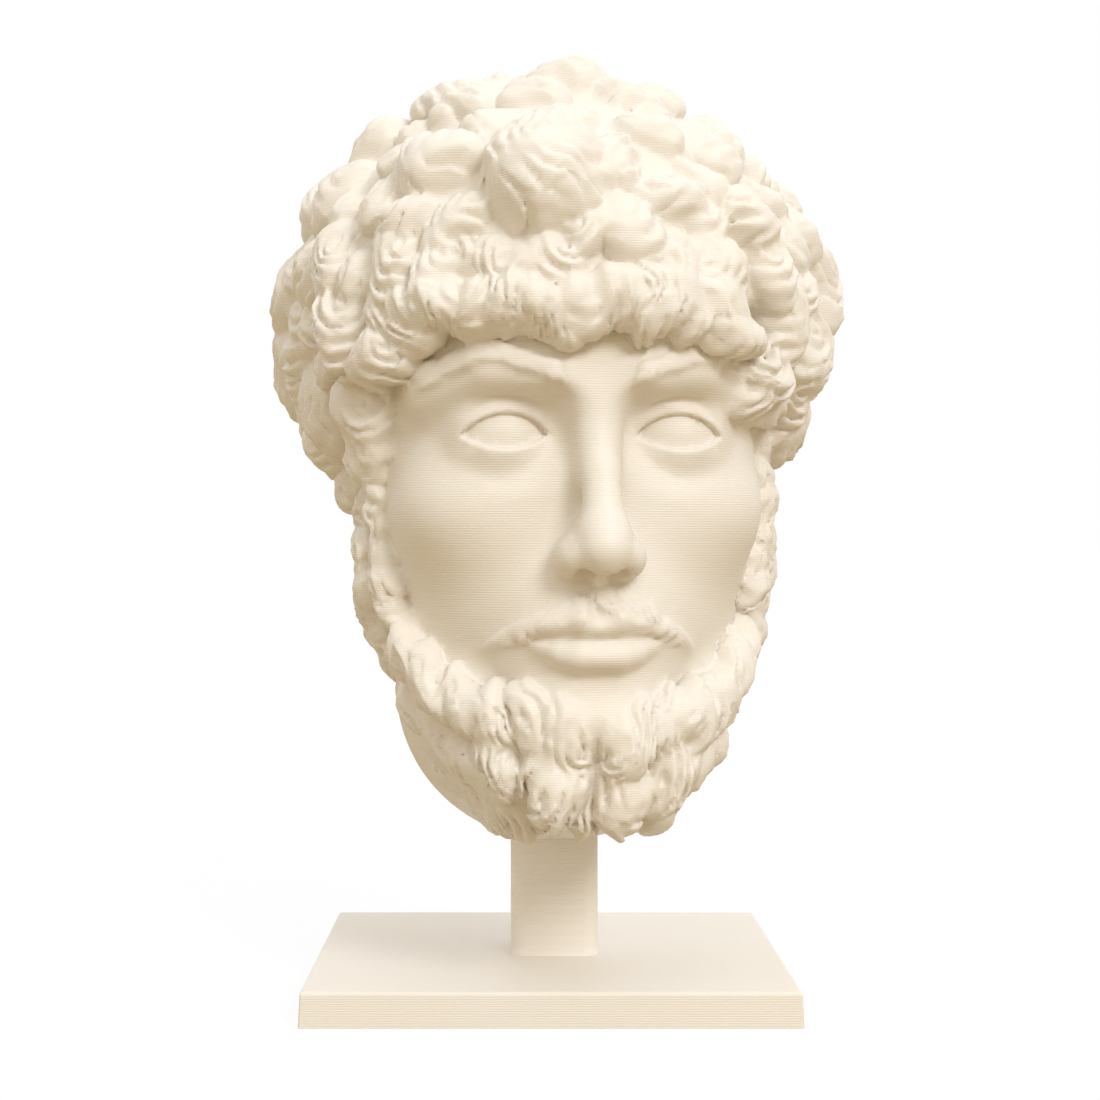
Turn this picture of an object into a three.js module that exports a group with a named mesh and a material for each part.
import * as THREE from 'three';
import { ConvexGeometry } from 'three/addons/geometries/ConvexGeometry.js';
import { mergeVertices } from 'three/addons/utils/BufferGeometryUtils.js';

// Small printed display bust: a bearded head with curly hair on a square post and a square plate.
// Millimetres, +Z up, origin in the middle of the plate's underside, face toward -Y.

// plate
const plateSide = 42;
const plateThickness = 3;
const plateDraft = 0.13;
const plateEdgeBevel = 0.3;

// post
const postSide = 7.75;
const postCorner = 1.4;
const postTop = 13.75;
const postFootFlare = 0.2;
const postFootHeight = 0.9;
const postRight = 0.5;
const cornerSteps = 6;

// head: the eye line is halfway up a head of this height, without its hair
const headHeight = 54;
const eyeLineZ = 49.25;
const headForward = 4;
const headRight = 0.6;
const headYaw = 8;

// Points of the head are [right, forward, up] from the eye line in the middle of the skull.
const skull = { centre: [0, -1.5, 6], radii: [19.3, 24, 22] };
const neckRadius = 14;
const neckForward = -4;
const neckLow = -22.1;
const collarRadius = 5.3;
const hairShell = { centre: [0, -1.5, 11.2], radii: [22, 26, 20.2] };

// face, by the usual thirds and fifths of the head, written for a head 56 high and scaled to this one
const faceHeight = 56;
const faceScale = headHeight / faceHeight;
const eyeWidth = faceHeight * 2 / 3 / 5;
const browUp = 0.065 * faceHeight;
const noseUp = (browUp - faceHeight / 2) / 2;
const mouthUp = noseUp - (faceHeight / 2 + noseUp) / 3;
const eyeballRadius = 4.3;
const eyeballForward = 17;
const lidThickness = 0.6;

const radians = THREE.MathUtils.degToRad;
const lerp = THREE.MathUtils.lerp;

// small repeatable irregularity between -1 and 1
const wobble = (index, salt) => {
  const value = Math.sin(index * 12.9898 + salt * 78.233) * 43758.5453;
  return 2 * (value - Math.floor(value)) - 1;
};

const length3 = (a, b, c) => Math.sqrt(a * a + b * b + c * c);

// signed distances, negative inside

const smoothMin = (a, b, k) => {
  const h = Math.max(k - Math.abs(a - b), 0);
  return Math.min(a, b) - h * h / (4 * k);
};

const smoothMax = (a, b, k) => -smoothMin(-a, -b, k);

const ellipsoid = (x, f, w, c, r) => {
  const a = (x - c[0]) / r[0];
  const b = (f - c[1]) / r[1];
  const d = (w - c[2]) / r[2];
  const k0 = Math.sqrt(a * a + b * b + d * d);
  const k1 = length3(a / r[0], b / r[1], d / r[2]) + 1e-6;
  return k0 * (k0 - 1) / k1;
};

// one rounded cone between points that carry their own radius as a fourth value
const limb = (x, f, w, a, b) => {
  const abx = b[0] - a[0];
  const abf = b[1] - a[1];
  const abw = b[2] - a[2];
  const px = x - a[0];
  const pf = f - a[1];
  const pw = w - a[2];
  const along = (px * abx + pf * abf + pw * abw) / (abx * abx + abf * abf + abw * abw);
  const t = Math.min(Math.max(along, 0), 1);
  return length3(px - abx * t, pf - abf * t, pw - abw * t) - (a[3] + (b[3] - a[3]) * t);
};

const cord = (x, f, w, points, k = 0) => {
  let d = Infinity;
  for (let i = 0; i + 1 < points.length; i++) {
    const next = limb(x, f, w, points[i], points[i + 1]);
    d = k > 0 && d < Infinity ? smoothMin(d, next, k) : Math.min(d, next);
  }
  return d;
};

// face: forehead, cheeks, jaw and chin are blended masses, then sockets, nose, eyes and mouth
const browRidge = [[0, 21.6, 3, 1.9], [4, 22.2, 4.2, 2], [8.6, 20.9, 5.2, 2], [13.4, 16.2, 3.6, 1.9]];
const noseBridge = [[0, 21.6, 2.4, 1.7], [0, 24.3, -3.5, 1.55], [0, 26.2, -8.4, 1.75], [0, 26.8, -9.9, 2]];
const upperLip = [
  [0, 24.3, mouthUp + 1.05, 0.85],
  [1.4, 24.35, mouthUp + 1.35, 0.95],
  [3.4, 23.2, mouthUp + 0.85, 0.75],
  [5.6, 21.2, mouthUp + 0.3, 0.35],
];
const lowerLip = [
  [0, 23.85, mouthUp - 1.5, 1.3],
  [1.5, 23.65, mouthUp - 1.42, 1.25],
  [3, 23, mouthUp - 1.12, 1.02],
  [4.2, 22.1, mouthUp - 0.65, 0.72],
  [5.2, 21.3, mouthUp - 0.15, 0.4],
];
const lipLine = [
  [0, 25.7, mouthUp - 0.2, 0.28],
  [1.8, 25.3, mouthUp + 0.1, 0.28],
  [4.2, 23.4, mouthUp + 0.1, 0.26],
  [6, 21.6, mouthUp + 0.3, 0.3],
];
const upperLid = (s) => 1.75 * (1 - Math.abs(s) ** 2.2) - 0.1 * s;
const lowerLid = (s) => -1.25 * (1 - s * s) - 0.1 * s;

const faceDistance = (side, forward, up) => {
  const x = Math.abs(side) / faceScale;
  const f = forward / faceScale;
  const w = up / faceScale;
  let d = ellipsoid(x, f, w, skull.centre, skull.radii);
  d = smoothMin(d, ellipsoid(x, f, w, [0, 8, 9], [15.5, 15.3, 14]), 5);
  d = smoothMin(d, ellipsoid(x, f, w, [0, 7, -7], [15.6, 15, 17]), 5);
  d = smoothMin(d, ellipsoid(x, f, w, [0, 7, -16], [13.6, 14.6, 11.5]), 5);
  d = smoothMin(d, ellipsoid(x, f, w, [0, 15, -16.2], [7.6, 8.6, 6.6]), 3.5);
  d = smoothMin(d, ellipsoid(x, f, w, [0, 18.6, -23.8], [5.4, 5.4, 4.3]), 4);
  d = smoothMin(d, ellipsoid(x, f, w, [9.8, 13.4, -6.6], [5.6, 6.4, 4.6]), 5);
  d = smoothMin(d, cord(x, f, w, browRidge, 1), 2.6);
  d = smoothMax(d, -ellipsoid(x, f, w, [7.2, 24.4, -0.6], [5, 4.3, 3.5]), 2.6);
  d = smoothMax(d, -ellipsoid(x, f, w, [3.6, 24.2, 0.4], [1.9, 3, 2.4]), 2);

  d = smoothMin(d, cord(x, f, w, noseBridge, 0.8), 2.4);
  d = smoothMin(d, ellipsoid(x, f, w, [0, 24, -9.2], [2.4, 4, 2.3]), 1.6);
  d = smoothMin(d, ellipsoid(x, f, w, [2.4, 24.2, -10.6], [1.45, 2.6, 1.75]), 1.2);
  d = smoothMin(d, limb(x, f, w, [0, 26.9, -11.2, 0.75], [0, 24.2, -12.2, 0.8]), 0.9);

  const eyeX = x - eyeWidth;
  const eyeF = f - eyeballForward;
  const eyeW = w + 0.2;
  const fromEye = length3(eyeX, eyeF, eyeW);
  if (fromEye < 10) {
    const s = eyeX / (eyeWidth / 2);
    const inFront = eyeF > 0;
    d = smoothMin(d, fromEye - (eyeballRadius + lidThickness), 1);
    const gap = Math.max(eyeW - upperLid(s), lowerLid(s) - eyeW, (Math.abs(s) - 1) * 2);
    d = smoothMax(d, inFront ? -gap : -9, 0.25);
    d = Math.min(d, fromEye - eyeballRadius);
  }

  d = smoothMin(d, cord(x, f, w, upperLip, 0.5), 0.9);
  d = smoothMin(d, cord(x, f, w, lowerLip, 0.6), 0.9);
  d = smoothMax(d, -cord(x, f, w, lipLine), 0.6);
  d = smoothMax(d, -ellipsoid(x, f, w, [0, 25.8, mouthUp - 4.4], [4.2, 2, 1.5]), 1.6);
  return faceScale * smoothMax(d, -ellipsoid(x, f, w, [0, 26.2, mouthUp + 3.6], [0.7, 1.4, 1.9]), 1);
};

// neck stump, with a short collar under it as wide as the post's corners
const neckDistance = (x, f, w) => smoothMin(
  limb(x, f, w, [0, neckForward + 1, -6, neckRadius], [0, neckForward, neckLow, neckRadius]),
  limb(x, f, w, [0, neckForward, -33, collarRadius], [0, neckForward, -38, collarRadius]),
  1.6,
);

const cross = (a, b) => [a[1] * b[2] - a[2] * b[1], a[2] * b[0] - a[0] * b[2], a[0] * b[1] - a[1] * b[0]];
const dot = (a, b) => a[0] * b[0] + a[1] * b[1] + a[2] * b[2];
const unit = (a) => {
  const length = length3(...a);
  return a.map((v) => v / length);
};

// the locks near the crown sit a little closer in than the shell itself
const crownTaper = 0.13;

// a place on the hair shell by compass angle from the face and height above the eye line
const onShell = (azimuth, up) => {
  const { centre, radii } = hairShell;
  const a = radians(azimuth);
  const level = Math.min(Math.max((up - centre[2]) / radii[2], -0.97), 0.97);
  const flat = Math.sqrt(1 - level * level) * (1 - crownTaper * Math.max(level, 0) ** 2);
  const at = [
    centre[0] + radii[0] * flat * Math.sin(a),
    centre[1] + radii[1] * flat * Math.cos(a),
    centre[2] + radii[2] * level,
  ];
  const out = unit([
    (at[0] - centre[0]) / radii[0] ** 2,
    (at[1] - centre[1]) / radii[1] ** 2,
    (at[2] - centre[2]) / radii[2] ** 2,
  ]);
  return { at, out };
};

// Rounded locks of hair and beard. Each is a bulb that leans out at its lower end and bends a little.
// The beard's locks lie flatter than those of the hair.
const hairTilt = radians(16);
const beardTilt = radians(12);
const makeLock = (spot, flow, radius, long, turn, rise, salt, tilt = hairTilt) => {
  const d = unit(flow.map((v, i) => v - spot.out[i] * dot(flow, spot.out)));
  return {
    middle: spot.at,
    radii: [radius, radius * long, radius * rise],
    reach: radius * Math.max(1, long, rise) * 1.08 + 0.3,
    bends: [3.1 * wobble(salt, 0.3), 3.1 * wobble(salt, 2.3)],
    axes: [
      cross(spot.out, d).map((v) => v * turn),
      d.map((v, i) => v * Math.cos(tilt) + spot.out[i] * Math.sin(tilt)),
      spot.out.map((v, i) => v * Math.cos(tilt) - d[i] * Math.sin(tilt)),
    ],
  };
};

const lockDistance = ({ middle, radii, bends, axes }, x, f, w) => {
  const from = [x - middle[0], f - middle[1], w - middle[2]];
  const [u, v, h] = axes.map((axis) => dot(axis, from));
  const across = u + 0.3 * Math.sin(0.9 * v + bends[0]);
  const along = v + 0.3 * Math.sin(u + bends[1]);
  return ellipsoid(across, along, h, [0, 0, 0], radii);
};

// locks over the forehead, the temples and the front of the crown, each
// [azimuth, up, radius, length over width, slant in degrees, turn, height over width]
const frontLocks = [
  [-12, 20.2, 5.5, 1.05, -8, -1, 1], [2, 21.5, 3.6, 1.09, -15, 1, 0.8],
  [20, 24, 3.7, 0.79, -25, 1, 0.75], [18, 18.5, 3.1, 0.85, -20, 1, 0.8],
  [25, 17, 2.7, 0.94, -15, 1, 0.7], [40, 23.5, 3.5, 1.05, -20, 1, 0.6], [61, 23, 3.1, 1, -20, 1, 0.7],
  [38, 17.5, 3.7, 0.83, -15, 1, 0.75], [70, 18, 3.7, 1, -10, 1, 0.8], [6, 16, 3.7, 0.79, -35, 1, 0.65],
  [8, 11, 2.7, 1.06, 20, 1, 0.9], [16, 13, 2.5, 1.5, 25, 1, 0.85], [26, 13.5, 3.2, 1.05, 15, 1, 0.8],
  [25, 10.6, 2.9, 1.4, 60, 1, 1.1], [27, 8.6, 2.4, 1.9, 68, 1, 1.4], [43, 14, 3.1, 1.3, 0, 1, 0.8],
  [49, 9.5, 3.5, 1.18, -5, 1, 0.8], [44, 5.5, 3.7, 0.83, 10, 1, 0.8],
  [-46, 27.5, 3.7, 0.83, 15, -1, 0.75], [3, 29.8, 4.2, 0.85, 0, -1, 0.8],
  [24, 28, 3.7, 0.83, -30, 1, 0.72], [-8, 25.5, 3.7, 0.92, 10, -1, 0.55],
  [-65, 26, 2.9, 0.84, 20, -1, 0.7], [-83, 25, 2.1, 0.86, 25, -1, 0.7],
  [-28, 25, 3.9, 0.75, 10, -1, 0.65], [-41, 21.5, 4.7, 0.75, 5, -1, 0.85],
  [-82, 21, 3.9, 1, 10, -1, 0.85], [-44, 17.5, 3.6, 0.75, 0, 1, 0.65], [-32, 17, 3.6, 0.83, 10, -1, 0.5],
  [-46, 14, 2.9, 1.47, 5, -1, 0.85], [-66, 15, 3.5, 1.14, 5, -1, 0.85],
  [-90, 15.5, 3.1, 1.15, 0, -1, 0.8], [-47, 10, 2.9, 0.84, -20, -1, 0.75],
  [-60, 9, 3.6, 1.3, 5, -1, 0.85], [-50, 6.5, 4, 0.77, 0, -1, 0.75], [-88, 9.5, 3.1, 1.3, 0, -1, 0.75],
  [-4, 16.5, 3.1, 1, 20, 1, 0.6], [-60, 1.5, 4, 1, 0, -1, 0.85], [-92, 6, 3.6, 1, 0, -1, 0.8],
  [-95, 3.5, 3.6, 0.91, 0, -1, 0.85], [-92, 0.6, 3.8, 0.95, 5, -1, 1.05],
  [-88, -3, 3.7, 0.85, 5, -1, 1.2], [40, 3.5, 3.1, 0.85, 0, 1, 0.85], [64, 4, 3.5, 0.95, 0, 1, 0.85],
  [73, 1.5, 3.2, 0.9, 0, 1, 0.9], [-35, 13.5, 2.5, 0.94, 0, -1, 0.8], [-28, 13.5, 2.1, 1, 10, 1, 0.8],
  [-22, 13.5, 2.4, 0.93, -10, -1, 0.8], [-16, 13.5, 2.4, 0.87, 15, 1, 0.8],
  [-10, 13, 2.5, 1.19, 25, -1, 0.9], [-32, 10.5, 2.8, 1.06, 0, -1, 0.9],
  [-26, 10, 2.5, 1.19, 10, 1, 0.9], [-20, 10, 2.4, 1.2, -10, -1, 0.9], [-16, 10.5, 2.5, 1.12, 5, 1, 0.9],
  [-8, 10, 2.8, 1.22, 30, -1, 0.9], [-2, 10, 2.7, 1, 15, 1, 0.85], [-41, 8.6, 2.7, 1.1, 10, -1, 0.85],
  [4, 10.6, 2.2, 0.9, 40, 1, 0.95],
];

const roundLocks = [];
const addLock = (azimuth, up, radius, long, slant, turn, rise) => {
  const flow = [Math.sin(radians(slant)), 0, -Math.cos(radians(slant))];
  roundLocks.push(makeLock(onShell(azimuth, up), flow, radius, long, turn, rise, roundLocks.length));
};
frontLocks.forEach((row) => addLock(...row));

// sides and back, in staggered rows from the crown to the nape:
// [up, from, to, count, radius, height over width]
const backRows = [
  [29.6, 50, 325, 5, 4.3, 0.62],
  [25.6, 88, 272, 7, 4.5, 0.75],
  [20.4, 86, 268, 10, 4.4, 0.85],
  [14.4, 72, 262, 11, 4.4, 0.85],
  [8.4, 62, 264, 12, 4.3, 0.85],
  [2.4, 62, 298, 12, 4.1, 0.9],
  [-3.4, 72, 288, 11, 3.8, 1],
];
backRows.forEach(([up, from, to, count, radius, rise], row) => {
  const salt = 10 * row;
  for (let i = 0; i < count; i++) {
    const stagger = 0.4 * (row % 2);
    addLock(
      lerp(from, to, (i + stagger) / (count - 0.6)) + 2.5 * wobble(i, salt),
      up + 0.9 * wobble(i, salt + 1),
      radius * (1 + 0.14 * wobble(i, salt + 2)),
      1.1 + 0.2 * wobble(i, salt + 3),
      0,
      wobble(i, salt + 4) > 0 ? 1 : -1,
      rise * (1 + 0.12 * wobble(i, salt + 5)),
    );
  }
});

// smaller locks wherever the large ones leave the scalp bare
for (let i = 0; i < 1200; i++) {
  const azimuth = 360 * ((i * 0.618034) % 1);
  const up = -4 + 35 * ((i * 0.754878) % 1);
  const fromFace = Math.abs((azimuth + 180) % 360 - 180);
  if (up < 12 && fromFace < 52) {
    continue;
  }
  const { at } = onShell(azimuth, up);
  const size = 2.9 + 0.5 * wobble(i, 51);
  const room = roundLocks.map(({ middle, radii }) => length3(
    at[0] - middle[0], at[1] - middle[1], at[2] - middle[2],
  ) - 0.8 * radii[0]);
  if (Math.min(...room) > size * 0.45) {
    addLock(azimuth, up, size, 1.1, 25 * wobble(i, 52), wobble(i, 53) > 0 ? 1 : -1, 0.75);
  }
}

// long locks lying down the back of the neck and behind the ears, as [up, count]
[[-8.5, 13], [-13.5, 12]].forEach(([up, count], row) => {
  const salt = 60 + 5 * row;
  for (let i = 0; i < count; i++) {
    const a = radians(lerp(78, 282, (i + 0.5 * row) / (count - 1 + row)) + 3 * wobble(i, salt));
    const front = Math.max(Math.cos(a), 0);
    const ring = neckRadius + 0.2 + 7 * front;
    const spot = {
      at: [ring * Math.sin(a), neckForward + ring * Math.cos(a) + 2 * front, up + 0.8 * wobble(i, salt + 1)],
      out: [Math.sin(a), Math.cos(a), 0],
    };
    const turn = wobble(i, salt + 3) > 0 ? 1 : -1;
    const flow = [0.2 * wobble(i, salt + 2), 0, -1];
    roundLocks.push(makeLock(spot, flow, 2.8, 1.7, turn, 0.75, roundLocks.length));
  }
});

// beard and sideburns: locks along lines from the ear to the chin, the same on both sides
const jawLines = [
  {
    salt: 70, count: 7, radius: 1.7, height: 2, long: 1.3,
    line: [[16.6, 8.8, -2], [16.6, 9.2, -8], [16, 9.7, -14.5]],
  },
  {
    salt: 75, count: 6, radius: 2.1, height: 2.2, long: 1.3,
    line: [[17.6, 4.6, -4], [17.6, 5, -12], [15.8, 5.8, -19]],
  },
  {
    salt: 78, count: 5, radius: 2, height: 1.9, long: 1.3,
    line: [[17.4, 1.6, -8], [17, 2, -14], [15, 2.6, -20.5]],
  },
  {
    salt: 80, count: 9, radius: 1.5, height: 2, long: 2,
    line: [[15.6, 10.2, -17], [12.2, 16.2, -21.9], [7.4, 20, -23.4]],
  },
  {
    salt: 85, count: 7, radius: 1.9, height: 2.5, long: 1.8,
    line: [[15, 6.4, -20.8], [11.6, 13, -26.2], [7.4, 18.4, -27.6]],
  },
  {
    salt: 90, count: 6, radius: 2.2, height: 2.3, long: 1.5,
    line: [[11.4, 3.5, -26], [8.4, 11, -30.2], [5.2, 16.4, -31]],
  },
];
const alongLine = (line, t) => {
  const [a, b, c] = line;
  return [0, 1, 2].map((i) => {
    const control = 2 * b[i] - (a[i] + c[i]) / 2;
    return (1 - t) ** 2 * a[i] + 2 * t * (1 - t) * control + t * t * c[i];
  });
};
for (const side of [-1, 1]) {
  jawLines.forEach(({ salt, count, radius, height, long, line }) => {
    for (let i = 0; i < count; i++) {
      const t = (i + 0.5 + 0.2 * wobble(i, salt + side)) / count;
      const place = alongLine(line, t);
      const out = unit([place[0] * 1.15, place[1] - 2, (place[2] + 17) * 0.7]);
      const at = place.map((v, axis) => v - out[axis] * height * 0.35);
      const spot = { at: [side * at[0], at[1], at[2]], out: [side * out[0], out[1], out[2]] };
      const flow = [-0.15 * side + 0.25 * wobble(i, salt + 5), 0.25 + 0.3 * wobble(i, salt + 2), -1];
      const turn = (i + (side > 0 ? 1 : 0)) % 2 ? 1 : -1;
      roundLocks.push(makeLock(
        spot, flow, radius * (1 + 0.16 * wobble(i, salt + 3 + side)),
        long * (1 + 0.15 * wobble(i, salt + 4 + side)), turn, height / radius,
        roundLocks.length, beardTilt,
      ));
    }
  });
}

// lobes over the chin, parted in the middle, each
// [right, forward, up, radius, length over width, height over width, lean sideways, turn]
const chinLobes = [
  [-5, 20.4, -23.4, 2.3, 1.6, 0.95, 0.35, 1], [-2.5, 21.8, -24.8, 2.4, 1.5, 0.85, 0.25, -1],
  [-3.2, 20.4, -28.4, 2.9, 1.5, 1, -0.1, 1], [-7.2, 18.2, -26.8, 2.3, 1.9, 1, 0.1, -1],
  [2.5, 21.8, -24.9, 2.6, 1.5, 0.85, -0.3, 1], [5.8, 19.8, -23.8, 2.3, 1.6, 0.95, -0.25, -1],
  [1.9, 20.2, -28.8, 2.7, 1.7, 1, 0.1, -1], [5.7, 18.7, -28.2, 2.7, 1.6, 1, -0.05, 1],
  [-0.6, 18.8, -29.8, 2.4, 1.5, 0.9, 0, 1],
];
for (const [x, f, w, radius, long, rise, lean, turn] of chinLobes) {
  const spot = { at: [x, f, w], out: unit([0.05 * x, 1, -0.15]) };
  roundLocks.push(makeLock(
    spot, [lean, 0, -1], radius, long, turn, rise, roundLocks.length, beardTilt,
  ));
}

// fringe: a row of narrow upright bulbs along its lower edge
for (let i = 0; i < 19; i++) {
  addLock(
    lerp(-40, 21, i / 18) + 1.2 * wobble(i, 39), 9.6 + 0.7 * wobble(i, 40),
    1.8 + 0.45 * wobble(i, 42), 1.1, 0, 1, 1.55,
  );
}

// joins all locks, working out only the ones that come near
const lockBlend = 0.4;
const lockUnion = (x, f, w, limit) => {
  let d = limit;
  for (const lock of roundLocks) {
    const [mx, mf, mw] = lock.middle;
    const square = (x - mx) ** 2 + (f - mf) ** 2 + (w - mw) ** 2;
    const near = lock.reach + d + lockBlend;
    if (near < 0 || square > near * near) {
      continue;
    }
    const away = Math.sqrt(square) - lock.reach;
    d = away > 1.5 ? Math.min(d, away + 0.5) : smoothMin(d, lockDistance(lock, x, f, w), lockBlend);
  }
  return d;
};

// moustache: follows the lip, with a wisp at each corner
const moustache = [
  [0.7, 25.3, mouthUp + 2.4, 0.65],
  [3.2, 24.3, mouthUp + 2, 0.9],
  [5.8, 21.9, mouthUp + 0.7, 0.8],
  [7.4, 20.2, mouthUp - 0.6, 0.5],
].map((point) => point.map((v) => v * faceScale));

const headDistance = (x, f, w) => {
  let d = smoothMin(faceDistance(x, f, w), neckDistance(x, f, w), 3);
  const side = Math.abs(x);
  // hair bed, kept off the face
  const bed = smoothMax(
    ellipsoid(x, f, w, hairShell.centre, hairShell.radii),
    Math.min(f - 6 - Math.max(side - 13.5, 0) * 3, 10 - w),
    2,
  );
  d = smoothMin(d, bed, 0.8);
  d = smoothMin(d, ellipsoid(side, f, w, [0, 14.8, -26], [9, 6.5, 6.2]), 1.5);
  d = smoothMin(d, ellipsoid(side, f, w, [7.8, 8.5, -22], [6, 8.4, 7.4]), 1.5);
  d = smoothMin(d, cord(side, f, w, moustache), 0.5);
  d = smoothMin(d, lockUnion(x, f, w, d + 3), 0.5);
  return Math.max(d, postTop - eyeLineZ - w);
};

// The head's surface is one skin seen from the middle of the skull: one point on every line of
// sight. Points start evenly spread and are added wherever the skin still strays from the carving.
const heart = [0, -1, -2];
const farOut = 44;
const startSpacing = 2.2;
const faceSpacing = 1.35;
const shortestEdge = 0.75;
const cliffEdge = 0.42;
const cliffLength = 2.3;
const pointBudget = 4790;
const seatUp = postTop - eyeLineZ;

const fromHeart = (dir, reach) => [0, 1, 2].map((i) => heart[i] + dir[i] * reach);

const surfaceAlong = (dir) => {
  let t = farOut;
  for (let i = 0; i < 160; i++) {
    const d = headDistance(heart[0] + dir[0] * t, heart[1] + dir[1] * t, heart[2] + dir[2] * t);
    if (d < 0.004) {
      break;
    }
    t -= Math.max(d * 0.75, 0.02);
  }
  return t;
};

const aim = (x, f, w) => unit([x - heart[0], f - heart[1], w - heart[2]]);

// rim and middle of the seat on the post, edges of the lids, line between the lips
const guideDirections = () => {
  const guides = [];
  for (const ring of [4.1, 2]) {
    for (let i = 0; i < 20; i++) {
      const a = i / 10 * Math.PI;
      guides.push(aim(ring * Math.cos(a), neckForward + ring * Math.sin(a), seatUp));
    }
  }
  const lidSteps = 7;
  for (const side of [-1, 1]) {
    for (const [lid, outward] of [[upperLid, 1], [lowerLid, -1]]) {
      for (const [gap, radius] of [[-0.12, eyeballRadius], [0.3, eyeballRadius + lidThickness]]) {
        for (let i = -lidSteps; i <= lidSteps; i++) {
          const s = i / lidSteps * (gap > 0 ? 1.06 : 0.86);
          const u = s * eyeWidth / 2;
          const v = Math.abs(s) > 1 ? 0 : lid(s) + gap * outward;
          const f = Math.sqrt(Math.max(radius * radius - u * u - v * v, 0));
          const spot = [side * (eyeWidth + u), eyeballForward + f, v - 0.2];
          guides.push(aim(...spot.map((value) => value * faceScale)));
        }
      }
    }
  }
  for (let i = -7; i <= 7; i++) {
    for (const rise of [-0.7, -0.1, 0.6]) {
      guides.push(aim(i * 0.8 * faceScale, (24 - 0.05 * i * i) * faceScale, (mouthUp + rise) * faceScale));
    }
  }
  return guides;
};

const evenDirections = (count) => {
  const golden = Math.PI * (3 - Math.sqrt(5));
  return Array.from({ length: count }, (_, i) => {
    const index = (i * 34157) % count; // scattered order, so that no side is filled first
    const up = 1 - 2 * (index + 0.5) / count;
    const flat = Math.sqrt(1 - up * up);
    return [flat * Math.cos(golden * index), flat * Math.sin(golden * index), up];
  });
};

// keeps a direction only if it isn't too close to one that is kept already
const makePicker = () => {
  const kept = [];
  const cells = new Map();
  const cell = 0.1;
  return {
    kept,
    offer: (dir, gap) => {
      const [a, b, c] = dir.map((v) => Math.floor(v / cell));
      for (let i = a - 1; i <= a + 1; i++) {
        for (let j = b - 1; j <= b + 1; j++) {
          for (let k = c - 1; k <= c + 1; k++) {
            for (const other of cells.get(`${i},${j},${k}`) ?? []) {
              if (length3(dir[0] - other[0], dir[1] - other[1], dir[2] - other[2]) < gap) {
                return false;
              }
            }
          }
        }
      }
      kept.push(dir);
      const home = `${a},${b},${c}`;
      if (!cells.has(home)) {
        cells.set(home, []);
      }
      cells.get(home).push(dir);
      return true;
    },
  };
};

const wrap = (directions) => {
  const ball = new ConvexGeometry(directions.map((d) => new THREE.Vector3(...d)));
  ball.deleteAttribute('normal');
  return mergeVertices(ball, 1e-7);
};

const readDirections = (geometry) => {
  const spots = geometry.getAttribute('position');
  return Array.from({ length: spots.count }, (_, i) => unit([spots.getX(i), spots.getY(i), spots.getZ(i)]));
};

const findSkin = () => {
  const reaches = new Map();
  const nameOf = (dir) => dir.map((v) => v.toFixed(5)).join();
  const pointAlong = (dir) => {
    const name = nameOf(dir);
    if (!reaches.has(name)) {
      reaches.set(name, surfaceAlong(dir));
    }
    return fromHeart(dir, reaches.get(name));
  };
  const picker = makePicker();
  guideDirections().forEach((dir) => picker.offer(dir, 0.008));
  evenDirections(40000).forEach((dir) => {
    const rough = 1 / length3(dir[0] / 23, dir[1] / 26, dir[2] / 34);
    const [x, f, w] = fromHeart(dir, rough);
    const onFace = f > 8 && Math.abs(x) < 15 && w < 9 && w > -22;
    picker.offer(dir, (onFace ? faceSpacing : startSpacing) / rough);
  });
  for (let round = 0; round < 5; round++) {
    const geometry = wrap(picker.kept);
    const directions = readDirections(geometry);
    const points = directions.map(pointAlong);
    const order = geometry.getIndex().array;
    const edges = [];
    for (let i = 0; i < order.length; i++) {
      const a = order[i];
      const b = order[i % 3 === 2 ? i - 2 : i + 1];
      if (a > b) {
        continue;
      }
      const long = length3(...points[a].map((v, axis) => v - points[b][axis]));
      if (long < 1.7 * shortestEdge) {
        continue;
      }
      const middle = points[a].map((v, axis) => (v + points[b][axis]) / 2);
      const dir = aim(...middle);
      const real = pointAlong(dir);
      const miss = length3(...real.map((v, axis) => v - middle[axis]));
      const important = real[1] > 0 ? 1.35 : 1; // the face side shows most
      const gap = long > cliffLength ? cliffEdge : shortestEdge;
      const reach = length3(...real.map((v, axis) => v - heart[axis]));
      edges.push({ dir, score: important * miss, gap: gap / reach });
    }
    edges.sort((one, two) => two.score - one.score);
    const goal = picker.kept.length + Math.ceil((pointBudget - picker.kept.length) / (5 - round));
    for (const { dir, gap } of edges) {
      if (picker.kept.length >= goal) {
        break;
      }
      picker.offer(dir, gap);
    }
  }
  const geometry = wrap(picker.kept);
  const directions = readDirections(geometry);
  return { order: geometry.getIndex().array, directions, points: directions.map(pointAlong) };
};

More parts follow.
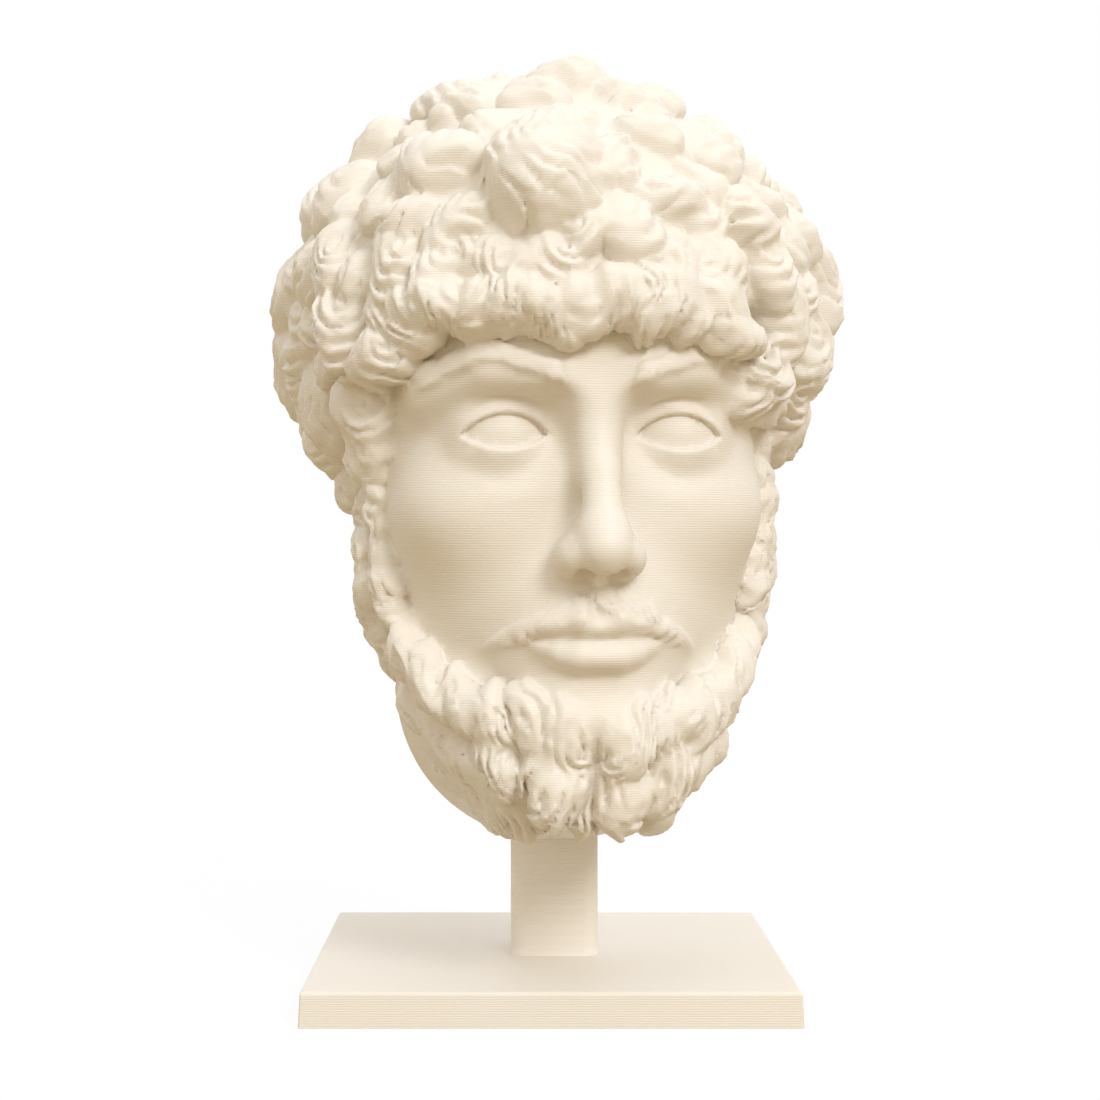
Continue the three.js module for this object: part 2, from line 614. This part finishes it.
// swaps the shared edge of two triangles when the other diagonal makes them less pointed
const settleEdges = ({ order, directions, points }) => {
  const corner = (a, b, c) => {
    const u = points[b].map((v, i) => v - points[a][i]);
    const v = points[c].map((w, i) => w - points[a][i]);
    return Math.acos(Math.min(Math.max(dot(u, v) / (length3(...u) * length3(...v) + 1e-9), -1), 1));
  };
  const facing = (a, b, c) => dot(cross(directions[a], directions[b]), directions[c]);
  for (let pass = 0; pass < 12; pass++) {
    const owners = new Map();
    for (let i = 0; i < order.length; i++) {
      const a = order[i];
      const b = order[i % 3 === 2 ? i - 2 : i + 1];
      owners.set(a * 1e5 + b, i);
    }
    const touched = new Set();
    let swaps = 0;
    for (const [name, i] of owners) {
      const a = Math.floor(name / 1e5);
      const b = name % 1e5;
      const j = owners.get(b * 1e5 + a);
      if (a > b || j === undefined) {
        continue;
      }
      const one = Math.floor(i / 3);
      const two = Math.floor(j / 3);
      if (touched.has(one) || touched.has(two)) {
        continue;
      }
      const c = order[i % 3 === 0 ? i + 2 : i - 1];
      const d = order[j % 3 === 0 ? j + 2 : j - 1];
      const open = facing(c, d, b) > 1e-6 && facing(d, c, a) > 1e-6;
      if (open && !owners.has(c * 1e5 + d) && !owners.has(d * 1e5 + c)
        && corner(c, a, b) + corner(d, a, b) > Math.PI + 0.02) {
        order.set([c, d, b], one * 3);
        order.set([d, c, a], two * 3);
        touched.add(one).add(two);
        swaps++;
      }
    }
    if (swaps === 0) {
      break;
    }
  }
};

// rounds off single stray points, then swells back by as much
const easeSkin = ({ order, points }, rounds) => {
  const neighbours = points.map(() => new Set());
  for (let i = 0; i < order.length; i += 3) {
    for (let k = 0; k < 3; k++) {
      neighbours[order[i + k]].add(order[i + (k + 1) % 3]).add(order[i + (k + 2) % 3]);
    }
  }
  const crisp = ([x, f, w]) => {
    const eye = length3((Math.abs(x) - eyeWidth * faceScale) / 4.4, (f - 20) / 6, w / 2.6);
    return Math.abs(w - seatUp) < 0.03 || eye < 1;
  };
  for (let round = 0; round < 2 * rounds; round++) {
    const share = round % 2 ? -0.36 : 0.34;
    const moved = points.map((point, i) => {
      if (crisp(point)) {
        return point;
      }
      const near = [...neighbours[i]];
      return point.map((v, axis) => {
        const mean = near.reduce((sum, j) => sum + points[j][axis], 0) / near.length;
        return v + share * (mean - v);
      });
    });
    points.splice(0, points.length, ...moved);
  }
};

const headGeometry = () => {
  const skin = findSkin();
  settleEdges(skin);
  easeSkin(skin, 2);
  const positions = skin.points.flatMap(([x, f, w]) => [x, -f, Math.abs(w - seatUp) < 0.03 ? seatUp : w]);
  // forward is -Y, which mirrors the skin, so each triangle is turned round
  const index = [];
  for (let i = 0; i < skin.order.length; i += 3) {
    index.push(skin.order[i], skin.order[i + 2], skin.order[i + 1]);
  }
  const geometry = new THREE.BufferGeometry();
  geometry.setAttribute('position', new THREE.Float32BufferAttribute(positions, 3));
  geometry.setIndex(index);
  return geometry;
};

// stack of rounded squares, each [height, side, corner radius]
const squareStack = (levels) => {
  const around = 4 * (cornerSteps + 1);
  const positions = [];
  for (const [z, side, corner] of levels) {
    for (let q = 0; q < 4; q++) {
      for (let i = 0; i <= cornerSteps; i++) {
        const a = (q + i / cornerSteps) * Math.PI / 2;
        const inset = side / 2 - corner;
        const cx = q === 0 || q === 3 ? inset : -inset;
        const cy = q < 2 ? inset : -inset;
        positions.push(cx + corner * Math.cos(a), cy + corner * Math.sin(a), z);
      }
    }
  }
  const index = [];
  for (let level = 0; level + 1 < levels.length; level++) {
    for (let i = 0; i < around; i++) {
      const a = level * around + i;
      const b = level * around + (i + 1) % around;
      index.push(a, b, b + around, a, b + around, a + around);
    }
  }
  const top = (levels.length - 1) * around;
  for (let i = 1; i + 1 < around; i++) {
    index.push(0, i + 1, i, top, top + i, top + i + 1);
  }
  const geometry = new THREE.BufferGeometry();
  geometry.setAttribute('position', new THREE.Float32BufferAttribute(positions, 3));
  geometry.setIndex(index);
  return geometry;
};

const ivory = () => new THREE.MeshStandardMaterial({ color: 0xf0e4cc, roughness: 0.55, metalness: 0 });

const head = new THREE.Mesh(headGeometry(), ivory());
head.name = 'head';
const headGroup = new THREE.Group();
headGroup.position.set(headRight, -headForward, eyeLineZ);
headGroup.rotation.z = radians(headYaw);
headGroup.add(head);

const post = new THREE.Mesh(squareStack([
  [plateThickness, postSide + 2 * postFootFlare, postCorner + postFootFlare],
  [plateThickness + postFootHeight * 0.4, postSide + 0.6 * postFootFlare, postCorner + 0.3 * postFootFlare],
  [plateThickness + postFootHeight, postSide, postCorner],
  [postTop, postSide, postCorner],
]), ivory());
post.name = 'post';
post.position.x = postRight;

const plate = new THREE.Mesh(squareStack([
  [0, plateSide, 0.4],
  [plateThickness - plateEdgeBevel, plateSide - 2 * plateDraft, 0.4],
  [plateThickness, plateSide - 2 * plateDraft - 2 * plateEdgeBevel, 0.3],
]), ivory());
plate.name = 'base_plate';

const bust = new THREE.Group();
bust.add(plate, post, headGroup);

export default bust;
